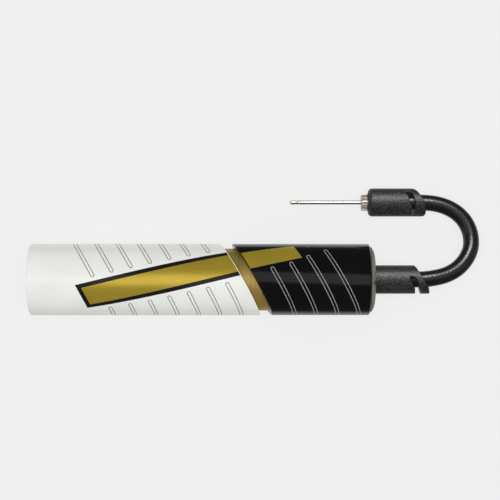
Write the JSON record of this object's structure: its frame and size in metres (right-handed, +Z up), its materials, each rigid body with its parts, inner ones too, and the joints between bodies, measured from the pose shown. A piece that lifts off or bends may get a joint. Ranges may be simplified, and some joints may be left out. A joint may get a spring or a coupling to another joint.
{
  "type": "ball inflation pump",
  "caption": "Slim hand pump for sports balls: a sleeve handle slides on a metal barrel, with a short braided hose and a screw-in needle.",
  "frame": {"origin": "middle of the closed pump's body, on the ground that it lies on", "axes": "+X along the body from the handle's end to the hose, +Z up, +Y towards the side where the needle lies"},
  "size_m": [0.2403, 0.0681, 0.038],
  "materials": {
    "white_gloss": "white moulded ABS, gloss",
    "black_gloss": "black moulded ABS, gloss",
    "cap_grey": "warm grey moulded plastic, satin",
    "gold_barrel": "gold anodised, turned finish",
    "boot_grey": "soft dark grey elastomer, matte",
    "hose_braid": "black braided cover on a rubber tube",
    "nickel": "nickel plated brass",
    "needle_steel": "stainless tube, bright",
    "steel": "zinc plated steel",
    "brass": "turned brass",
    "nylon": "natural nylon",
    "seal_rubber": "black nitrile rubber"
  },
  "bodies": {
    "pump_head": {"barrel": "gold_barrel", "barrel_gland": "nylon", "head_plug": "nylon", "plug_o_ring": "seal_rubber", "valve_spring": "steel", "valve_retainer": "brass", "head_sleeve": "black_gloss", "end_cap": "cap_grey", "gland_screw_1": "steel", "gland_screw_2": "steel", "gland_screw_3": "steel", "plug_screw_1": "steel", "plug_screw_2": "steel", "plug_screw_3": "steel"},
    "check_valve": {"valve_ball": "steel"},
    "handle": {"handle_sleeve": "white_gloss", "mouth_bush": "nylon", "handle_end_cover": "white_gloss", "handle_end_plug": "nylon", "rod_screw": "steel", "piston_rod": "steel", "piston": "nylon", "piston_guide_ring": "nylon", "piston_cup": "seal_rubber", "piston_washer": "steel", "piston_screw": "steel"},
    "hose_screw": {"hose_washer": "seal_rubber"},
    "hose": {"hose_fitting": "brass", "hose_ferrule": "nickel", "hose_boot": "boot_grey", "hose": "hose_braid", "needle_ferrule": "nickel", "needle_socket": "brass", "needle_holder": "boot_grey"},
    "needle_screw": {"needle_washer": "seal_rubber"},
    "needle": {"needle_base": "nickel", "needle_tube": "needle_steel"}
  },
  "joints": [
    {"name": "handle_slide", "type": "slide", "parent": "pump_head", "child": "handle", "axis": [-1, 0, 0], "range_m": [0, 0.08]},
    {"name": "check_valve_lift", "type": "slide", "parent": "pump_head", "child": "check_valve", "axis": [1, 0, 0], "range_m": [0, 0.0015], "stiffness_N_per_m": 80, "deforming": ["valve_spring"]},
    {"name": "hose_advance", "type": "slide", "parent": "pump_head", "child": "hose_screw", "axis": [1, 0, 0], "range_m": [0, 0.00478]},
    {"name": "hose_turn", "type": "hinge", "parent": "hose_screw", "child": "hose", "pos_m": [0.09, 0, 0.019], "axis": [1, 0, 0], "range_deg": [0, 2160]},
    {"name": "needle_advance", "type": "slide", "parent": "hose", "child": "needle_screw", "axis": [-1, 0, 0], "range_m": [0, 0.00476]},
    {"name": "needle_turn", "type": "hinge", "parent": "needle_screw", "child": "needle", "pos_m": [0.0882, 0.04146, 0.0076], "axis": [-1, 0, 0], "range_deg": [0, 2168]}
  ],
  "couplings": [
    {"joint": "hose_advance", "follows": "hose_turn", "m_per_rad": 0.00012637},
    {"joint": "needle_turn", "follows": "needle_advance", "rad_per_m": 7913.3}
  ]
}
